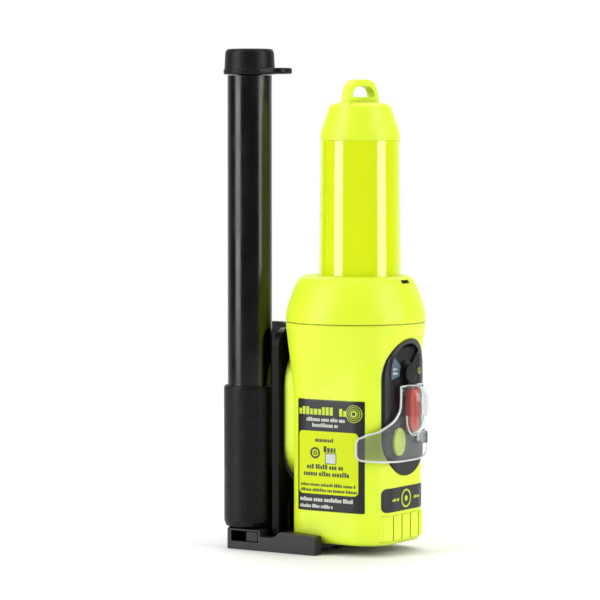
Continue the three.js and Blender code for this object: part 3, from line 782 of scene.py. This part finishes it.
def front_badge():
    patch = wrapped(rounded_span((-21, 23.8), (21, 36.7), (3, 3)), -0.3, 0.38, front_skin, 48, 16, 0.1)
    piece("badge_patch", patch, label_black, "beacon", ["front_badge"])
    ring_piece("badge_ring", 0, 30.2, 4.1, 5.0, print_yellow, front_skin, 0.5)
    ring_piece("badge_dot", 0, 30.2, 0.0, 1.5, print_yellow, front_skin, 0.5)
    printed("badge_bars", [(-14, -7.4, 30.2, 1.5, (3, 4)), (8, 14.4, 30.2, 1.5, (3, 4))], print_yellow,
            front_skin, 0.5, 11)
    printed("status_print", [(-13.6, -8.8, 100.9, 1.3, (3, 4)), (-13.8, -8.6, 98.6, 1.5, (4, 5))],
            print_light, lambda y, z, o: (29.52 + o, y, z), 0.06, 13)


# ------------------------------------------------------------------ pole
def pole():
    foot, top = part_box("pole_sleeve")[0][2] / MM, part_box("pole_sleeve")[1][2] / MM
    sleeve = turned(
        [(0, foot), (11.4, foot), (13.3, foot + 0.6), (14.25, foot + 3.4), (14.25, top - 1.2),
         (13.6, top), (12.4, top), (12.4, top - 3), (0, top - 3)], POLE, 112, 0.6)
    piece("sleeve_grip", sleeve, sleeve_black, "pole", ["pole_sleeve"], 45)
    here = Vector((POLE.x, POLE.y, 0))
    for name, side in (("sleeve_split_front", -1), ("sleeve_split_back", 1)):
        strip = plate([rectangle((-0.22, foot + 3.5), (0.22, top - 1.5))],
                      *sorted((-side * 13.6, -side * 14.22)), FACING_Y, 0.05, here)
        piece(name, strip, recess_shade_black, "pole")
    tube_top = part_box("pole_outer_tube")[1][2] / MM
    tube = turned([(11, foot + 4), (12.15, foot + 4), (12.15, tube_top), (11, tube_top)],
                  POLE, 112, 0.25, True)
    piece("tube_outer", tube, tube_black, "pole", ["pole_outer_tube"], 45)
    for i, (bore, radius) in enumerate(((9.6, 10.5), (8.3, 9.2), (6.9, 7.9))):
        node = f"pole_stage_{i + 2}"
        low, high = (corner[2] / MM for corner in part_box(node))
        stage = turned([(bore, low), (radius, low), (radius, high), (bore, high)], POLE, 96, 0.3, True)
        piece(f"tube_stage_{i + 2}", stage, tube_black, f"stage_{i + 2}", [node], 45)
    cap = turned(
        [(0, 250), (6.4, 250), (6.4, 259.3), (13.6, 259.3), (14.25, 259.6), (14.28, 261.7),
         (13.85, 262.2), (13.75, 262.9), (13.35, 271.4), (12.4, 273.0), (11, 273.28), (0, 273.28)],
        POLE, 112, 0.35)
    piece("pole_end_cap", cap, cap_black, "stage_4", ["pole_cap"], 45)
    tab = plate([rounded_corners([(6, -7.9), (25.5, -7.9), (25.5, 7.9), (6, 7.9)], [0, 7.7, 7.7, 0], 12)],
                259.45, 262.75, FACING_Z, 0.9, here)
    piece("cap_pull_tab", tab, cap_black, "stage_4")


# ------------------------------------------------------------------ bracket and hidden pieces
def bracket():
    piece("tray_moulding", refined("base_tray", 0.55, 3), frame_black, "bracket",
          ["base_tray"])
    piece("hoop_moulding", refined("rear_hoop", 0.8, 3, 40), hoop_black, "bracket",
          ["rear_hoop"], 30)
    piece("back_plate", refined("wall_plate", 0.6, 3, 50), hoop_black, "bracket",
          ["wall_plate"])
    piece("catch_block", refined("foot_catch", 0.3, 2), catch_grey, "catch", ["foot_catch"])


def base_and_screws():
    piece("base_plate", refined("base_cover", 0.35, 2, 50), housing_yellow, "beacon",
          ["base_cover"])
    for kind, body in (("base_screw", "beacon"), ("bracket_screw", "bracket")):
        for i in range(1, 5):
            node = f"{kind}_{i}"
            low, high = (corner[2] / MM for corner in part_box(node))
            head = 2.15 if body == "beacon" else 2.65
            socket, shank = 0.9, 1.1
            profile = [(0, low + 0.9), (socket, low + 0.9), (socket, low), (head - 0.3, low),
                       (head, low + 0.3), (head, low + 0.6), (shank, low + 1.1), (shank, high), (0, high)]
            screw = turned(profile, middle(node), 32)
            piece(f"{node}_turned", screw, screw_steel, body, [node])


# hidden pieces that keep their CAD shape
PLAIN = {
    "battery_cell_1": cell_wrap, "battery_cell_2": cell_wrap, "battery_cell_3": cell_wrap,
    "battery_cell_4": cell_wrap, "battery_plate": catch_grey, "main_board": board_green,
    "rf_board": board_green, "sounder": cap_black, "reed_switch": glass_switch,
    "antenna_stack": antenna_brass,
}


# ------------------------------------------------------------------ studio
TOWARD = math.radians(31.65)  # the camera's view, turned round from the row frame's +Y


def area_light(name, place, target, width, height, power):
    data = bpy.data.lights.new(name, "AREA")
    data.shape = "RECTANGLE"
    data.size, data.size_y = width, height
    data.energy = power
    light = bpy.data.objects.new(name, data)
    light.location = place
    light.rotation_euler = (Vector(target) - Vector(place)).to_track_quat("-Z", "Y").to_euler()
    bpy.context.scene.collection.objects.link(light)


def studio():
    bm = bmesh.new()
    bmesh.ops.create_circle(bm, cap_ends=True, radius=0.8, segments=96)
    mesh = bpy.data.meshes.new("pale_floor")
    bm.to_mesh(mesh)
    bm.free()
    floor = bpy.data.objects.new("pale_floor", mesh)
    bpy.context.scene.collection.objects.link(floor)
    material, _, shader, _ = new_material("pale_floor")
    shader.inputs["Base Color"].default_value = (0.93, 0.93, 0.93, 1)
    shader.inputs["Roughness"].default_value = 0.9
    shader.inputs["Specular IOR Level"].default_value = 0.1
    mesh.materials.append(material)
    # bright behind the object, dim in front of it
    world = bpy.data.worlds.new("studio")
    bpy.context.scene.world = world
    world.use_nodes = True
    tree = world.node_tree
    coords = tree.nodes.new("ShaderNodeTexCoord")
    turn = tree.nodes.new("ShaderNodeMapping")
    turn.vector_type = "POINT"
    turn.inputs["Rotation"].default_value = (0, 0, -TOWARD)
    split = tree.nodes.new("ShaderNodeSeparateXYZ")
    tree.links.new(coords.outputs["Generated"], turn.inputs["Vector"])
    tree.links.new(turn.outputs["Vector"], split.inputs["Vector"])
    glow = remap(tree, split.outputs["Y"], 0.3, 0.95, 0.13, 1.0)
    tree.links.new(glow, tree.nodes["Background"].inputs["Strength"])
    tree.nodes["Background"].inputs["Color"].default_value = (1, 1, 1, 1)
    away, level = 1.3, 0.75
    for name, swing, power in (("left_strip", -62, 17.0), ("right_strip", 64, 15.0)):
        a = TOWARD + math.radians(swing)
        place = Vector((away * math.sin(a), -away * math.cos(a), level))
        area_light(name, place, Vector((0, 0, 0.6)), 0.66, 1.5, power)
    area_light("top_soft", (-0.35, 0.45, 1.5), (-0.25, 0.3, 0), 1.7, 1.7, 23.0)


def camera():
    """Long lens, aimed beside the radome axis towards the pole, so that both fill the picture."""
    distance, height = 1.659, 0.2327
    aim_left, aim_height = 0.032636, 0.136587
    to_axis = Vector((-math.sin(TOWARD), math.cos(TOWARD), 0))
    right = Vector((math.cos(TOWARD), math.sin(TOWARD), 0))
    place = Vector((AXIS.x, AXIS.y, height)) - to_axis * distance
    aim = Vector((AXIS.x, AXIS.y, aim_height)) - right * aim_left
    data = bpy.data.cameras.new("camera")
    data.lens = 183.0
    data.sensor_width = 36
    cam = bpy.data.objects.new("camera", data)
    cam.location = place
    cam.rotation_euler = (aim - place).to_track_quat("-Z", "Y").to_euler()
    bpy.context.scene.collection.objects.link(cam)
    bpy.context.scene.camera = cam


camera()
housing_body()
housing_details()
shoulder_and_radome()
cap_with_eye()
control_panel()
lever()
security_cover()
side_label()
front_badge()
pole()
bracket()
base_and_screws()
for node, material in PLAIN.items():
    NODES[node].data.materials.clear()
    NODES[node].data.materials.append(material)
studio()
bpy.context.scene.view_settings.view_transform = "Standard"
